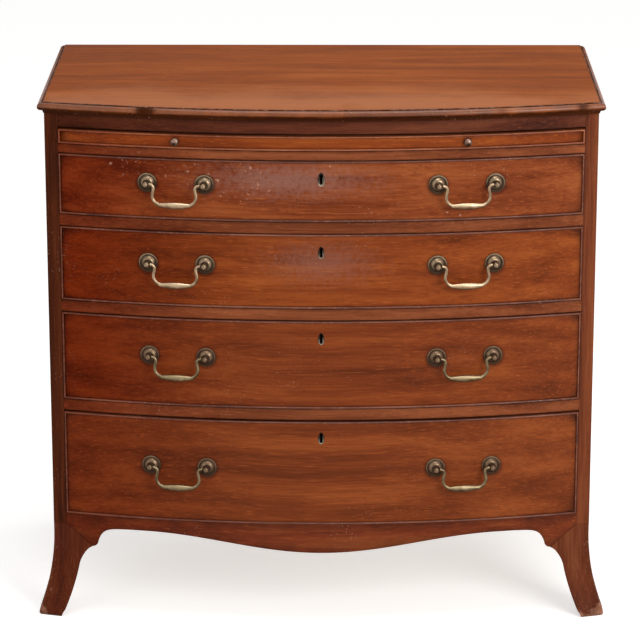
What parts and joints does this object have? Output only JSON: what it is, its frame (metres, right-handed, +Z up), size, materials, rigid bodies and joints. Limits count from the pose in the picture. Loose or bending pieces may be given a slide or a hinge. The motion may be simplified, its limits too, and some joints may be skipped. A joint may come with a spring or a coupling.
{
  "type": "bow front chest of drawers",
  "caption": "Bow front chest of graduated drawers with a brushing slide, moulded top, shaped apron, splayed feet and swan-neck bail handles.",
  "frame": {"origin": "on the floor, at the middle of the bounding box in plan", "axes": "+Z up, the bowed front faces -Y, +X to the right of someone facing the front"},
  "size_m": [0.9844, 0.5494, 0.913],
  "materials": {
    "mahogany_front": "waxed, worn polish over reddish brown mahogany",
    "mahogany_side": "waxed, darker mahogany",
    "mahogany_top": "faded, satin mahogany",
    "oak_lining": "dry, unpolished oak",
    "pine_back": "dry, darkened pine",
    "bail_brass": "handled, bright aged brass",
    "plate_brass": "dark, patinated brass"
  },
  "bodies": {
    "carcase": {"top_board": "mahogany_top", "side_left": "mahogany_side", "side_right": "mahogany_side", "back_panel": "pine_back", "bottom_board": "oak_lining", "frieze_rail": "mahogany_front", "slide_divider": "mahogany_front", "apron": "mahogany_front", "foot_front_left": "mahogany_side", "foot_front_right": "mahogany_side", "foot_back_left": "mahogany_side", "foot_back_right": "mahogany_side", "drawer_divider_1": "mahogany_front", "drawer_divider_2": "mahogany_front", "drawer_divider_3": "mahogany_front"},
    "slide": {"brushing_slide": "mahogany_front"},
    "drawer_1": {"drawer_1_front": "mahogany_front", "drawer_1_side_left": "oak_lining", "drawer_1_side_right": "oak_lining", "drawer_1_back": "oak_lining", "drawer_1_bottom": "oak_lining", "drawer_1_left_handle_left_post": "plate_brass", "drawer_1_left_handle_right_post": "plate_brass", "drawer_1_right_handle_left_post": "plate_brass", "drawer_1_right_handle_right_post": "plate_brass"},
    "drawer_1_left_bail": {"drawer_1_left_handle_bail": "bail_brass"},
    "drawer_1_right_bail": {"drawer_1_right_handle_bail": "bail_brass"},
    "drawer_2": {"drawer_2_front": "mahogany_front", "drawer_2_side_left": "oak_lining", "drawer_2_side_right": "oak_lining", "drawer_2_back": "oak_lining", "drawer_2_bottom": "oak_lining", "drawer_2_left_handle_left_post": "plate_brass", "drawer_2_left_handle_right_post": "plate_brass", "drawer_2_right_handle_left_post": "plate_brass", "drawer_2_right_handle_right_post": "plate_brass"},
    "drawer_2_left_bail": {"drawer_2_left_handle_bail": "bail_brass"},
    "drawer_2_right_bail": {"drawer_2_right_handle_bail": "bail_brass"},
    "drawer_3": {"drawer_3_front": "mahogany_front", "drawer_3_side_left": "oak_lining", "drawer_3_side_right": "oak_lining", "drawer_3_back": "oak_lining", "drawer_3_bottom": "oak_lining", "drawer_3_left_handle_left_post": "plate_brass", "drawer_3_left_handle_right_post": "plate_brass", "drawer_3_right_handle_left_post": "plate_brass", "drawer_3_right_handle_right_post": "plate_brass"},
    "drawer_3_left_bail": {"drawer_3_left_handle_bail": "bail_brass"},
    "drawer_3_right_bail": {"drawer_3_right_handle_bail": "bail_brass"},
    "drawer_4": {"drawer_4_front": "mahogany_front", "drawer_4_side_left": "oak_lining", "drawer_4_side_right": "oak_lining", "drawer_4_back": "oak_lining", "drawer_4_bottom": "oak_lining", "drawer_4_left_handle_left_post": "plate_brass", "drawer_4_left_handle_right_post": "plate_brass", "drawer_4_right_handle_left_post": "plate_brass", "drawer_4_right_handle_right_post": "plate_brass"},
    "drawer_4_left_bail": {"drawer_4_left_handle_bail": "bail_brass"},
    "drawer_4_right_bail": {"drawer_4_right_handle_bail": "bail_brass"}
  },
  "joints": [
    {"name": "slide_pull", "type": "slide", "parent": "carcase", "child": "slide", "axis": [0, -1, 0], "range_m": [0, 0.26]},
    {"name": "drawer_1_pull", "type": "slide", "parent": "carcase", "child": "drawer_1", "axis": [0, -1, 0], "range_m": [0, 0.33]},
    {"name": "drawer_1_left_bail_swing", "type": "hinge", "parent": "drawer_1", "child": "drawer_1_left_bail", "pos_m": [-0.245, -0.25526, 0.78235], "axis": [-0.9899, 0.1421, 0], "range_deg": [-12, 95]},
    {"name": "drawer_1_right_bail_swing", "type": "hinge", "parent": "drawer_1", "child": "drawer_1_right_bail", "pos_m": [0.245, -0.25526, 0.78235], "axis": [-0.9899, -0.1421, 0], "range_deg": [-12, 95]},
    {"name": "drawer_2_pull", "type": "slide", "parent": "carcase", "child": "drawer_2", "axis": [0, -1, 0], "range_m": [0, 0.33]},
    {"name": "drawer_2_left_bail_swing", "type": "hinge", "parent": "drawer_2", "child": "drawer_2_left_bail", "pos_m": [-0.245, -0.25526, 0.64379], "axis": [-0.9899, 0.1421, 0], "range_deg": [-12, 95]},
    {"name": "drawer_2_right_bail_swing", "type": "hinge", "parent": "drawer_2", "child": "drawer_2_right_bail", "pos_m": [0.245, -0.25526, 0.64379], "axis": [-0.9899, -0.1421, 0], "range_deg": [-12, 95]},
    {"name": "drawer_3_pull", "type": "slide", "parent": "carcase", "child": "drawer_3", "axis": [0, -1, 0], "range_m": [0, 0.33]},
    {"name": "drawer_3_left_bail_swing", "type": "hinge", "parent": "drawer_3", "child": "drawer_3_left_bail", "pos_m": [-0.245, -0.25526, 0.48131], "axis": [-0.9899, 0.1421, 0], "range_deg": [-12, 95]},
    {"name": "drawer_3_right_bail_swing", "type": "hinge", "parent": "drawer_3", "child": "drawer_3_right_bail", "pos_m": [0.245, -0.25526, 0.48131], "axis": [-0.9899, -0.1421, 0], "range_deg": [-12, 95]},
    {"name": "drawer_4_pull", "type": "slide", "parent": "carcase", "child": "drawer_4", "axis": [0, -1, 0], "range_m": [0, 0.33]},
    {"name": "drawer_4_left_bail_swing", "type": "hinge", "parent": "drawer_4", "child": "drawer_4_left_bail", "pos_m": [-0.245, -0.25526, 0.28452], "axis": [-0.9899, 0.1421, 0], "range_deg": [-12, 95]},
    {"name": "drawer_4_right_bail_swing", "type": "hinge", "parent": "drawer_4", "child": "drawer_4_right_bail", "pos_m": [0.245, -0.25526, 0.28452], "axis": [-0.9899, -0.1421, 0], "range_deg": [-12, 95]}
  ]
}
